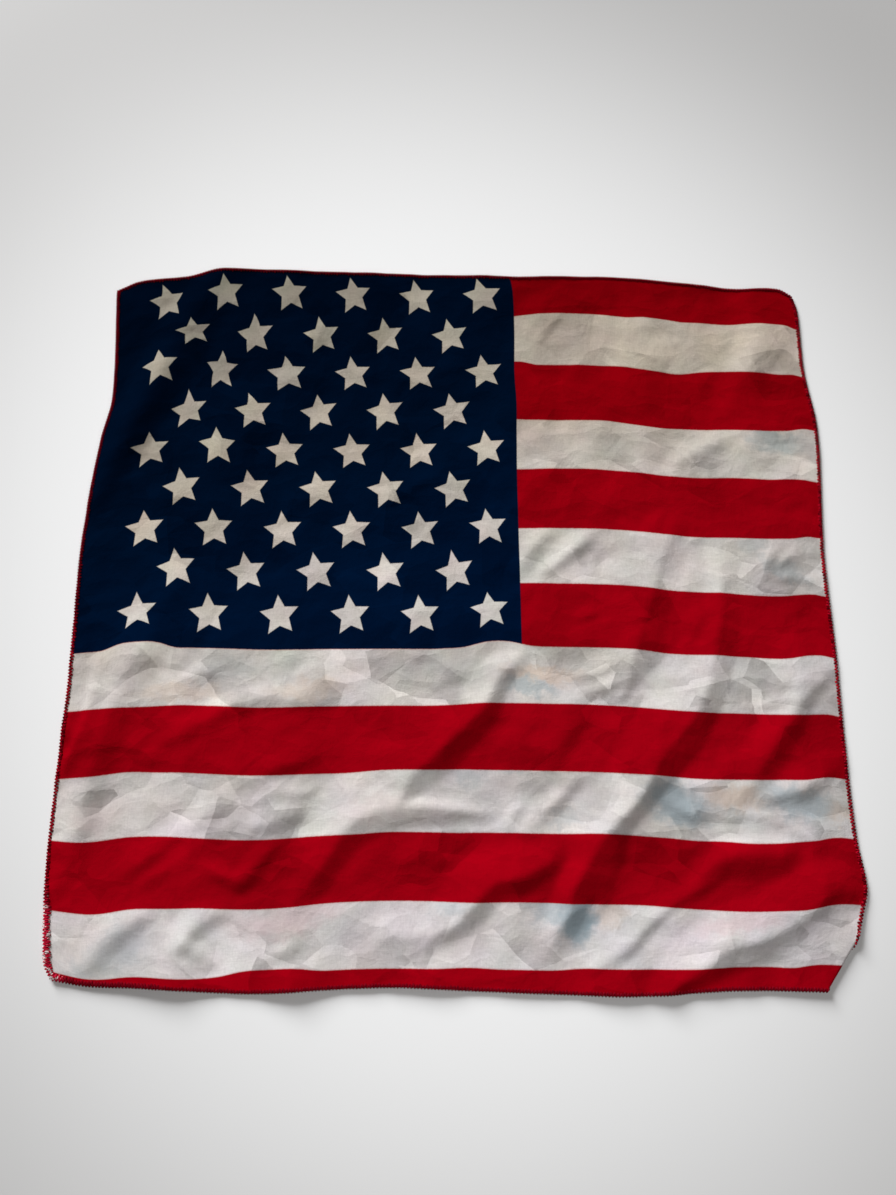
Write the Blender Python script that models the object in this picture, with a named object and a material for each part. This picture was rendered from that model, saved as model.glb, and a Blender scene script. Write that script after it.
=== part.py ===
"""A printed cotton bandana with a flag design, spread loosely on a flat surface.

It is one square of thin cloth. It lies flat over its middle and rises in soft diagonal folds, its
lower edge stands up a little in waves, and its lower corner at the fly is turned under.
The units are metres, +Z is up and the cloth lies on z = 0. The hoist, the side that carries the
canton of stars, is at -X, and the flag's top edge is at +Y.
"""

from collections import namedtuple
from math import cos, hypot, pi, sin

import bmesh
import bpy
from mathutils import Vector

THICKNESS = 0.0012
COLUMNS = 60
ROWS = 58

# The cloth's four sides as it lies, each a smooth line through these points.
# The hoist and the fly run from the bottom to the top, the other two from the hoist to the fly.
HOIST_SIDE = [
    (-0.2735, -0.264),
    (-0.2785, -0.254),
    (-0.2815, -0.224),
    (-0.2845, -0.184),
    (-0.2835, -0.119),
    (-0.2815, -0.059),
    (-0.2815, 0.046),
    (-0.2745, 0.126),
    (-0.2685, 0.161),
    (-0.2725, 0.256),
]
FLY_SIDE = [
    (0.268, -0.272),
    (0.272, -0.242),
    (0.279, -0.2245),
    (0.2845, -0.206),
    (0.281, -0.172),
    (0.2795, -0.120),
    (0.2795, -0.040),
    (0.278, 0.035),
    (0.2825, 0.135),
    (0.2765, 0.186),
    (0.2758, 0.238),
    (0.2725, 0.252),
]
TOP_SIDE = [
    (-0.2725, 0.256),
    (-0.2555, 0.264),
    (-0.2175, 0.2685),
    (-0.1875, 0.2755),
    (-0.118, 0.274),
    (0.046, 0.269),
    (0.135, 0.268),
    (0.199, 0.261),
    (0.231, 0.2575),
    (0.262, 0.258),
    (0.2725, 0.252),
]
BOTTOM_SIDE = [
    (-0.2735, -0.264),
    (-0.250, -0.268),
    (-0.213, -0.269),
    (-0.145, -0.2735),
    (-0.091, -0.272),
    (-0.0375, -0.269),
    (0.0165, -0.2715),
    (0.110, -0.2755),
    (0.137, -0.2755),
    (0.191, -0.271),
    (0.268, -0.272),
]

# A fold is a soft ridge: the points of its crest, each with the height there, and the reach
# of its slopes to both sides.
Fold = namedtuple("Fold", "crest reach")
FOLDS = [
    # across the canton's upper corner, from the top side to the hoist
    Fold(
        [
            (-0.186, 0.280, 0.003),
            (-0.216, 0.228, 0.006),
            (-0.244, 0.154, 0.009),
            (-0.265, 0.115, 0.007),
            (-0.280, 0.070, 0.0),
        ],
        0.024,
    ),
    # from the canton's foot down to the hoist
    Fold(
        [
            (-0.180, 0.036, 0.0),
            (-0.217, -0.011, 0.005),
            (-0.262, -0.080, 0.006),
            (-0.285, -0.130, 0.004),
        ],
        0.022,
    ),
    # from the canton's fly corner down towards the hoist
    Fold(
        [
            (0.062, 0.000, 0.0),
            (0.032, -0.044, 0.006),
            (-0.012, -0.103, 0.009),
            (-0.073, -0.150, 0.006),
            (-0.128, -0.186, 0.0),
        ],
        0.028,
    ),
    # the longest one, across the lower stripes from the fly to the bottom side
    Fold(
        [
            (0.212, 0.030, 0.0),
            (0.192, -0.025, 0.006),
            (0.174, -0.084, 0.008),
            (0.131, -0.147, 0.009),
            (0.086, -0.192, 0.007),
            (0.050, -0.235, 0.005),
            (0.030, -0.280, 0.004),
        ],
        0.030,
    ),
    # beside it, running into the facet at the middle of the fly half
    Fold(
        [
            (0.178, 0.080, 0.0),
            (0.150, 0.010, 0.004),
            (0.128, -0.041, 0.005),
            (0.105, -0.105, 0.0),
        ],
        0.022,
    ),
    # the short one that lifts the bottom side near its middle
    Fold(
        [
            (0.069, -0.188, 0.0),
            (0.020, -0.212, 0.004),
            (-0.014, -0.250, 0.006),
            (-0.030, -0.280, 0.006),
        ],
        0.024,
    ),
    # level, below the middle
    Fold([(-0.090, -0.156, 0.0), (-0.040, -0.146, 0.004), (0.012, -0.150, 0.0)], 0.020),
    # towards the turned-under corner
    Fold([(0.285, -0.196, 0.003), (0.210, -0.216, 0.005), (0.140, -0.236, 0.0)], 0.024),
    # two upright ones at the fly end of the top side
    Fold([(0.172, 0.275, 0.003), (0.170, 0.182, 0.004), (0.168, 0.110, 0.0)], 0.022),
    Fold([(0.240, 0.270, 0.003), (0.236, 0.182, 0.004), (0.232, 0.110, 0.0)], 0.022),
    # the waves in which the bottom side stands up
    Fold([(-0.205, -0.290, 0.007), (-0.190, -0.225, 0.0)], 0.050),
    Fold([(-0.110, -0.290, 0.006), (-0.100, -0.230, 0.0)], 0.040),
    Fold([(0.110, -0.290, 0.004), (0.105, -0.240, 0.0)], 0.040),
]

# The corner turned under: the crease runs from the fly to the bottom side, and the cloth beyond
# it goes round a bend of this radius, at mid thickness, and back beneath.
CREASE_START = Vector((0.2705, -0.2425))
CREASE_END = Vector((0.2495, -0.2705))
BEND_RADIUS = 0.0016
BEND_FACETS = 4
CORNER_LIFT = 2 * BEND_RADIUS
CORNER_LIFT_PLATEAU = 0.012
CORNER_LIFT_REACH = 0.060

CLOTH_COLOUR = (0.30, 0.008, 0.016, 1.0)
CLOTH_ROUGHNESS = 0.9


def clear_scene():
    """Removes the objects that a new file starts with."""
    for thing in list(bpy.data.objects):
        bpy.data.objects.remove(thing, do_unlink=True)


def line_point(points, fraction):
    """The point at a fraction of the length of a smooth line through the points."""
    points = [Vector(point) for point in points]
    marks = [0.0]
    for here, there in zip(points, points[1:]):
        marks.append(marks[-1] + (there - here).length)
    wanted = fraction * marks[-1]
    last = len(points) - 1
    index = max(i for i in range(last) if marks[i] <= wanted or i == 0)

    def slope(i):
        before, after = max(i - 1, 0), min(i + 1, last)
        return (points[after] - points[before]) / (marks[after] - marks[before])

    span = marks[index + 1] - marks[index]
    k = (wanted - marks[index]) / span
    start_part = 2 * k**3 - 3 * k**2 + 1
    return (
        start_part * points[index]
        + (1 - start_part) * points[index + 1]
        + (k**3 - 2 * k**2 + k) * span * slope(index)
        + (k**3 - k**2) * span * slope(index + 1)
    )


def laid_out(across, up):
    """Where the point at these fractions across and up the cloth lies on the surface."""
    bottom, top = line_point(BOTTOM_SIDE, across), line_point(TOP_SIDE, across)
    hoist, fly = line_point(HOIST_SIDE, up), line_point(FLY_SIDE, up)
    low = Vector(BOTTOM_SIDE[0]).lerp(Vector(BOTTOM_SIDE[-1]), across)
    high = Vector(TOP_SIDE[0]).lerp(Vector(TOP_SIDE[-1]), across)
    return bottom.lerp(top, up) + hoist.lerp(fly, across) - low.lerp(high, up)


def soft_step(k):
    """Falls from 1 to 0 as k goes from 0 to 1, level at both ends."""
    return 0.5 + 0.5 * cos(pi * min(max(k, 0.0), 1.0))


def fold_height(fold, x, y):
    """How high one fold lifts the cloth at a place."""
    highest = 0.0
    for (x0, y0, z0), (x1, y1, z1) in zip(fold.crest, fold.crest[1:]):
        dx, dy = x1 - x0, y1 - y0
        k = ((x - x0) * dx + (y - y0) * dy) / (dx * dx + dy * dy)
        k = min(max(k, 0.0), 1.0)
        away = hypot(x - x0 - k * dx, y - y0 - k * dy)
        highest = max(highest, (z0 + k * (z1 - z0)) * soft_step(away / fold.reach))
    return highest


def crease_normal():
    """The level direction that points from the crease out over the turned-under corner."""
    run = (CREASE_END - CREASE_START).normalized()
    return Vector((-run.y, run.x))


def past_crease(place):
    """How far a place lies past the crease, before the corner is turned under."""
    return (place - CREASE_START).dot(crease_normal())


def corner_height(place):
    """How high the layer beneath holds the cloth up around the crease."""
    middle = (CREASE_START + CREASE_END) / 2
    away = (place - middle).length - CORNER_LIFT_PLATEAU
    if past_crease(place) > 0:
        return CORNER_LIFT
    return CORNER_LIFT * soft_step(away / (CORNER_LIFT_REACH - CORNER_LIFT_PLATEAU))


def lifted(place):
    """How high the cloth's underside stands at a place."""
    folds = sum(fold_height(fold, place.x, place.y) for fold in FOLDS)
    corner = corner_height(place)
    # the folds fade out where the corner's two layers lie on each other
    return corner + folds * (1 - corner / CORNER_LIFT)


def turned_under(point, past):
    """Takes a point of the flat slab past the crease round the bend and back beneath."""
    normal = crease_normal()
    on_crease = Vector((point.x, point.y)) - past * normal
    radius = BEND_RADIUS + point.z - THICKNESS / 2
    centre_height = BEND_RADIUS + THICKNESS / 2
    angle = min(past / BEND_RADIUS, pi)
    beyond = past - BEND_RADIUS * angle
    level = on_crease + (radius * sin(angle) - beyond) * normal
    return Vector((level.x, level.y, centre_height + radius * cos(angle)))


def flat_slab():
    """The cloth laid out flat: its outline, with the corner not yet turned under."""
    slab = bmesh.new()
    bmesh.ops.create_grid(slab, x_segments=COLUMNS, y_segments=ROWS, size=0.5)
    for vert in slab.verts:
        place = laid_out(vert.co.x + 0.5, vert.co.y + 0.5)
        vert.co = (place.x, place.y, 0.0)
    normal = crease_normal()
    for step in range(BEND_FACETS + 1):
        start = CREASE_START + pi * BEND_RADIUS * step / BEND_FACETS * normal
        bmesh.ops.bisect_plane(
            slab,
            geom=slab.verts[:] + slab.edges[:] + slab.faces[:],
            dist=1e-6,
            plane_co=(start.x, start.y, 0.0),
            plane_no=(normal.x, normal.y, 0.0),
        )
    bmesh.ops.triangulate(slab, faces=slab.faces[:])
    upper = bmesh.ops.extrude_face_region(slab, geom=slab.faces[:])["geom"]
    upper_verts = [item for item in upper if isinstance(item, bmesh.types.BMVert)]
    bmesh.ops.translate(slab, verts=upper_verts, vec=(0.0, 0.0, THICKNESS))
    bmesh.ops.recalc_face_normals(slab, faces=slab.faces[:])
    return slab


def drape(slab):
    """Raises the flat slab into its folds and turns its corner under."""
    for vert in slab.verts:
        place = Vector((vert.co.x, vert.co.y))
        past = past_crease(place)
        if past > 0:
            vert.co = turned_under(vert.co, past)
        else:
            vert.co.z += lifted(place)


def centre_on_origin(mesh):
    """Puts the middle of the cloth's bounding box over the origin."""
    for axis in (0, 1):
        values = [vert.co[axis] for vert in mesh.vertices]
        middle = (min(values) + max(values)) / 2
        for vert in mesh.vertices:
            vert.co[axis] -= middle


def cotton():
    """Printed cotton in the colour that covers most of it, with no gloss."""
    material = bpy.data.materials.new("printed_cotton")
    material.use_nodes = True
    shader = material.node_tree.nodes["Principled BSDF"]
    shader.inputs["Base Color"].default_value = CLOTH_COLOUR
    shader.inputs["Roughness"].default_value = CLOTH_ROUGHNESS
    shader.inputs["Metallic"].default_value = 0.0
    return material


def make_cloth():
    """The one piece of cloth, as a closed solid."""
    slab = flat_slab()
    drape(slab)
    mesh = bpy.data.meshes.new("flag_cloth")
    slab.to_mesh(mesh)
    slab.free()
    centre_on_origin(mesh)
    mesh.shade_smooth()
    mesh.materials.append(cotton())
    cloth = bpy.data.objects.new("flag_cloth", mesh)
    bpy.context.scene.collection.objects.link(cloth)


clear_scene()
make_cloth()
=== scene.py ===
"""The looks of a printed cotton flag bandana, spread loosely on a flat surface.

Metres, +Z up. The cloth lies on z = 0, its hoist side with the canton of stars at -X and its top
edge at +Y.
"""

from math import atan2, cos, pi, radians, sin

import bmesh
import bpy
import numpy as np
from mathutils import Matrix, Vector
from mathutils.bvhtree import BVHTree
from mathutils.geometry import delaunay_2d_cdt


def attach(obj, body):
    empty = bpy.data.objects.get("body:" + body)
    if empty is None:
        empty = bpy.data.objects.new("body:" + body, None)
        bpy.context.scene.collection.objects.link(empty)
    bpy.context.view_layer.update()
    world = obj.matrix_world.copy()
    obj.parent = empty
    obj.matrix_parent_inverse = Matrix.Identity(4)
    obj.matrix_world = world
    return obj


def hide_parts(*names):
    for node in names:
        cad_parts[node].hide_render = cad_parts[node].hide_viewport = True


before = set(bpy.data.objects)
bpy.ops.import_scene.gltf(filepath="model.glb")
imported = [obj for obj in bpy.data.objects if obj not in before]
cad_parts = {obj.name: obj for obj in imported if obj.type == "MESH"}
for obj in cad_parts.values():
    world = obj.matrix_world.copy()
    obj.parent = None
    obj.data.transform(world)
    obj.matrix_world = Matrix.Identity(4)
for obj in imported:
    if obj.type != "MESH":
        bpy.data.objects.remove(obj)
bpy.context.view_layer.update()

# ------------------------------------------------------------------------------------------
# The camera. It looks almost straight down on the cloth, from a hand's breadth to the front of
# its middle, through the wide lens of a phone.

bpy.ops.object.select_all(action="DESELECT")
bpy.ops.object.camera_add(location=(-0.0052, -0.1531, 0.652), rotation=(radians(13.3), 0.0, 0.0))
camera = bpy.context.object
camera.name = "camera"
camera.data.lens = 27.05
camera.data.clip_start = 0.01
bpy.context.scene.camera = camera

# ------------------------------------------------------------------------------------------
# The cloth as it lies. It is one square of thin plain-weave cotton, soft from wear, spread out by
# hand: flat over its middle, with long slack folds, its bottom side standing up in low waves and
# its lower fly corner turned under. The four sides are smooth lines through these points.

FLAT_WIDTH = 0.560
FLAT_LENGTH = 0.545
CLOTH_THICKNESS = 0.0004
COLUMNS = 208
ROWS = 202

HOIST_SIDE = [
    (-0.2735, -0.264), (-0.2785, -0.254), (-0.2815, -0.224), (-0.2845, -0.184), (-0.2835, -0.119),
    (-0.2815, -0.059), (-0.2815, 0.046), (-0.2745, 0.126), (-0.2685, 0.161), (-0.2725, 0.256),
]
FLY_SIDE = [
    (0.268, -0.272), (0.2735, -0.242), (0.279, -0.2245), (0.2845, -0.206), (0.281, -0.172),
    (0.2795, -0.120), (0.2795, -0.040), (0.278, 0.035), (0.2825, 0.135), (0.2765, 0.186),
    (0.2758, 0.238), (0.2725, 0.252),
]
TOP_SIDE = [
    (-0.2725, 0.256), (-0.2555, 0.264), (-0.2175, 0.2685), (-0.1875, 0.2755), (-0.118, 0.274),
    (0.046, 0.269), (0.135, 0.268), (0.199, 0.261), (0.231, 0.2575), (0.262, 0.258),
    (0.2725, 0.252),
]
BOTTOM_SIDE = [
    (-0.2735, -0.264), (-0.250, -0.268), (-0.213, -0.269), (-0.145, -0.2730), (-0.091, -0.2706),
    (-0.0375, -0.269), (0.0165, -0.2715), (0.110, -0.2745), (0.137, -0.2740), (0.191, -0.271),
    (0.268, -0.272),
]


def smooth_line(points, fractions):
    """The points at these fractions of the length of a smooth line through the given ones."""
    points = np.array(points)
    steps = np.linalg.norm(np.diff(points, axis=0), axis=1)
    marks = np.concatenate([[0.0], np.cumsum(steps)])
    order = np.arange(len(points))
    before, after = np.maximum(order - 1, 0), np.minimum(order + 1, order[-1])
    slopes = (points[after] - points[before]) / (marks[after] - marks[before])[:, None]
    wanted = np.asarray(fractions) * marks[-1]
    index = np.clip(np.searchsorted(marks, wanted, side="right") - 1, 0, len(steps) - 1)
    span = steps[index][:, None]
    k = (wanted - marks[index])[:, None] / span
    start_part = 2 * k**3 - 3 * k**2 + 1
    return (
        start_part * points[index]
        + (1 - start_part) * points[index + 1]
        + (k**3 - 2 * k**2 + k) * span * slopes[index]
        + (k**3 - k**2) * span * slopes[index + 1]
    )


def laid_out(across, up):
    """Where the points at these fractions across and up the flat cloth lie on the surface."""
    bottom, top = smooth_line(BOTTOM_SIDE, across), smooth_line(TOP_SIDE, across)
    hoist, fly = smooth_line(HOIST_SIDE, up), smooth_line(FLY_SIDE, up)
    across, up = across[:, None], up[:, None]
    low = (1 - across) * BOTTOM_SIDE[0] + across * BOTTOM_SIDE[-1]
    high = (1 - across) * TOP_SIDE[0] + across * TOP_SIDE[-1]
    sides = (1 - up) * bottom + up * top + (1 - across) * hoist + across * fly
    return sides - (1 - up) * low - up * high


bpy.ops.mesh.primitive_grid_add(
    x_subdivisions=COLUMNS, y_subdivisions=ROWS, size=1.0, calc_uvs=False
)
cloth = bpy.context.object
cloth.name = "cotton_cloth"
mesh = cloth.data
points = np.empty((len(mesh.vertices), 3))
mesh.vertices.foreach_get("co", points.ravel())
across, up = points[:, 0] + 0.5, points[:, 1] + 0.5

# The print lies a little askew and stretched on the cloth, as a soft one is pulled about when it
# is spread out. Each pull shifts the print round a place, in millimetres: how far that place is
# from the hoist and from the top side, how far the pull reaches both ways, and the shift.
PRINT_SHIFT = (0.0, 6.5)
PULLS = [
    # the whole upper half, away from the fly
    (280, 30, 600, 155, 6.8, 0.0),
    # the canton's top rows, and those below them
    (160, 0, 190, 38, 0.0, 3.6),
    (150, 118, 170, 52, 0.0, -2.2),
    # the strip right of the canton, from the top side to the bottom
    (355, 300, 75, 600, 0.0, 5.2),
    (312, 312, 20, 16, 0.0, 2.5),
    # the fly half's top stripes
    (500, 40, 50, 60, 0.0, 6.0),
    (525, 150, 50, 90, 0.0, 3.5),
    (430, 100, 34, 34, 0.0, -3.5),
    (475, 435, 44, 70, 0.0, -3.0),
    # the canton's foot at the hoist, and the edge strip below it
    (50, 308, 22, 24, 0.0, 5.5),
    (0, 500, 48, 150, 0.0, -6.5),
    # the canton's stars at the hoist, where the fold takes cloth up
    (40, 26, 26, 20, -4.5, 0.0),
    (50, 80, 36, 34, 0.0, 9.5),
    (60, 145, 42, 34, 0.0, 4.8),
    (50, 235, 38, 62, 0.0, 4.0),
    (122, 64, 30, 15, 2.5, -2.5),
    (102, 97, 34, 16, 4.2, 0.0),
    # its middle rows, and the last ones
    (200, 100, 120, 40, 2.0, 0.0),
    (255, 110, 90, 28, 0.0, 2.2),
    (150, 235, 170, 78, -3.0, 0.0),
    (285, 222, 24, 16, 0.0, 2.5),
    (312, 288, 34, 18, 0.0, 2.8),
    # its fly edge at the top side
    (330, 20, 26, 60, -3.0, 0.0),
    # the stripes beside it
    (385, 46, 62, 26, 0.0, 3.8),
    (440, 41, 18, 14, 0.0, 3.0),
    (425, 83, 28, 14, 0.0, 3.0),
    (326, 83, 12, 14, 0.0, 3.0),
    (530, 46, 30, 26, 0.0, 3.2),
    (450, 190, 150, 60, 0.0, 1.8),
    # the fly end of them all, one after the other
    (566, 130, 12, 170, 0.0, 3.0),
    (566, 45, 12, 20, 0.0, 3.0),
    (562, 45, 22, 26, 0.0, 4.0),
    (562, 88, 22, 18, 0.0, 5.0),
    (562, 131, 20, 18, 0.0, 3.5),
    (562, 221, 20, 20, 0.0, 3.5),
    (556, 300, 26, 50, 0.0, 2.8),
    (556, 401, 22, 28, 0.0, 2.8),
    (556, 443, 20, 16, 0.0, 2.5),
    (552, 492, 26, 22, 0.0, 4.5),
    (548, 532, 24, 18, 0.0, 4.5),
    # the stripes below the canton, one after the other
    (30, 401, 34, 18, 0.0, 1.8),
    (258, 401, 42, 20, 0.0, 2.2),
    (475, 401, 50, 20, 0.0, 2.4),
    (110, 443, 76, 20, 0.0, -2.0),
    (335, 443, 38, 18, 0.0, -1.3),
    (250, 443, 28, 18, 0.0, 1.2),
    (450, 443, 26, 18, 0.0, 1.6),
    (62, 490, 36, 20, 0.0, -2.4),
    (235, 490, 58, 20, 0.0, 2.6),
    (430, 490, 40, 20, 0.0, 1.5),
    (70, 532, 52, 18, 0.0, -5.0),
    (156, 532, 28, 16, 0.0, 2.8),
    (335, 532, 34, 16, 0.0, -2.4),
    (470, 532, 66, 18, 0.0, 3.0),
]
across_mm, down_mm = across * FLAT_WIDTH * 1000, (1 - up) * FLAT_LENGTH * 1000
printed = np.stack([across_mm + PRINT_SHIFT[0], down_mm + PRINT_SHIFT[1]], axis=1)
for place_x, place_y, reach_x, reach_y, shift_x, shift_y in PULLS:
    away = ((across_mm - place_x) / reach_x) ** 2 + ((down_mm - place_y) / reach_y) ** 2
    printed += np.exp(-away**2)[:, None] * (shift_x, shift_y)
printed *= 0.001

loop_verts = np.empty(len(mesh.loops), dtype=np.int64)
mesh.loops.foreach_get("vertex_index", loop_verts)
print_map = mesh.uv_layers.new(name="PrintFlat")
print_map.data.foreach_set("uv", printed[loop_verts].ravel())
points[:, :2] = laid_out(across, up)
points[:, 2] = 0.0
mesh.vertices.foreach_set("co", points.ravel())

# Cut lines along the bend of the turned-under corner, so that it rolls over cleanly.
CREASE_START = Vector((0.2735, -0.2370))
CREASE_END = Vector((0.2495, -0.2705))
BEND_RADIUS = 0.0014
BEND_FACETS = 6
crease_run = (CREASE_END - CREASE_START).normalized()
crease_normal = Vector((-crease_run.y, crease_run.x))
sheet = bmesh.new()
sheet.from_mesh(mesh)
for step in range(BEND_FACETS + 1):
    start = CREASE_START + pi * BEND_RADIUS * step / BEND_FACETS * crease_normal
    bmesh.ops.bisect_plane(
        sheet,
        geom=sheet.verts[:] + sheet.edges[:] + sheet.faces[:],
        dist=1e-6,
        plane_co=(start.x, start.y, 0.0),
        plane_no=(crease_normal.x, crease_normal.y, 0.0),
    )
sheet.to_mesh(mesh)
sheet.free()

# The folds. Each is a ridge: the points of its crest from the top or fly end to the bottom or
# hoist end, in millimetres, with the height there and how far its slopes reach on the hoist side
# and on the fly side. The last number is how soft it is, from 0, sharp creases and level facets,
# to 1, a round swell. The long ones keep apart or meet; the short ones ride on them.
CREST_STEPS = 6  # straight steps between two points of a crest
LONG_FOLDS_SETTLED = 0.97  # they have settled to this share of their heights
LONG_FOLDS = [
    # across the canton's upper corner, from the top side to the hoist
    ([(-184, 280, 2, 22, 26), (-203, 246, 4, 24, 26), (-214, 220, 5, 26, 26),
      (-225, 194, 5.5, 28, 25), (-238, 166, 6, 28, 24), (-250, 140, 6, 26, 22),
      (-262, 112, 4.5, 22, 20), (-272, 88, 2.5, 18, 16), (-282, 66, 0, 14, 12)], 0.9),
    # from the canton's foot down to the hoist
    ([(-200, 34, 0, 14, 14), (-212, 2, 1.8, 24, 20), (-221, -22, 2.6, 26, 22),
      (-232, -42, 3, 26, 22), (-243, -62, 3.2, 24, 22), (-249, -82, 3.4, 24, 20),
      (-254, -104, 3.4, 24, 18), (-260, -124, 3, 22, 16), (-263, -150, 2.6, 20, 15),
      (-266, -175, 2.2, 18, 14), (-270, -192, 1.6, 14, 14), (-284, -212, 1, 12, 10)], 0.6),
    # from the canton's fly corner down towards the hoist
    ([(58, -34, 0, 10, 8), (43, -47, 2, 14, 10), (30, -62, 3.5, 18, 10), (21, -80, 4.8, 24, 13),
      (9, -92, 5.5, 30, 15), (-3, -103, 6, 34, 16), (-17, -117, 5.5, 36, 16),
      (-27, -126, 4.5, 38, 16), (-36, -137, 4, 38, 12), (-41, -150, 4.5, 38, 14),
      (-58, -153, 5, 36, 18), (-75, -164, 5, 32, 17), (-86, -180, 4.5, 28, 14),
      (-96, -196, 3.5, 24, 12), (-108, -210, 1.5, 18, 10), (-116, -222, 0, 12, 8)], 0.15),
    # the longest one, across the lower stripes from the fly half to the bottom side
    ([(206, 52, 0, 14, 12), (198, 20, 1.5, 12, 14), (197, -10, 3, 13, 15), (193, -28, 4, 18, 16),
      (189, -44, 4.5, 30, 16), (185, -60, 4.5, 34, 15), (176, -80, 5, 34, 16),
      (161, -100, 6, 34, 18), (144, -120, 6.5, 32, 17), (133, -140, 6, 30, 11),
      (114, -160, 6, 28, 12), (100, -175, 6.5, 30, 22), (91, -190, 6, 14, 22),
      (80, -207, 5.5, 12, 20), (78, -220, 4.5, 14, 13), (69, -234, 3, 12, 12),
      (63, -246, 1, 10, 10), (58, -256, 0, 8, 8)], 0.1),
    # beside it, ending in a sharp three-cornered facet
    ([(176, 75, 0, 20, 15), (161, 46, 3, 40, 17), (152, 20, 3.6, 44, 17), (146, 3, 4, 40, 17),
      (140, -15, 4, 36, 17), (133, -36, 4, 30, 21), (128, -55, 2.6, 26, 11),
      (123, -68, 1.5, 18, 6), (118, -80, 0, 10, 3)], 0.05),
    # the one that lifts the bottom side near its middle
    ([(76, -180, 0, 12, 8), (62, -190, 3, 20, 9), (42, -198, 4.5, 24, 13), (26, -202, 5, 26, 14),
      (15, -213, 5, 26, 13), (5, -223, 4.5, 24, 12), (-6, -232, 4, 22, 10), (-26, -236, 3, 18, 16),
      (-45, -236, 2, 14, 16), (-60, -250, 0, 10, 10)], 0.2),
    # towards the turned-under corner, down to the bottom side
    ([(290, -204, 3, 16, 12), (272, -206, 4, 20, 14), (258, -209, 5, 24, 15),
      (245, -220, 6, 28, 16), (228, -231, 6.5, 30, 16), (205, -239, 6.5, 30, 17),
      (185, -244, 6, 28, 16), (170, -254, 5, 24, 14), (152, -266, 4, 20, 10),
      (138, -277, 3, 16, 8)], 0.3),
    # level, below the middle
    ([(30, -158, 0, 8, 8), (8, -154, 2.5, 8, 8), (-18, -151, 3.5, 8, 14),
      (-41, -150, 4, 8, 16)], 0.2),
    # the waves in which the bottom side stands up
    ([(-188, -226, 0, 30, 30), (-204, -290, 5, 45, 50)], 1.0),
    ([(-100, -230, 0, 25, 25), (-110, -290, 4, 36, 40)], 1.0),
    ([(105, -240, 0, 30, 25), (112, -290, 3.5, 38, 36)], 1.0),
]
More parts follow.
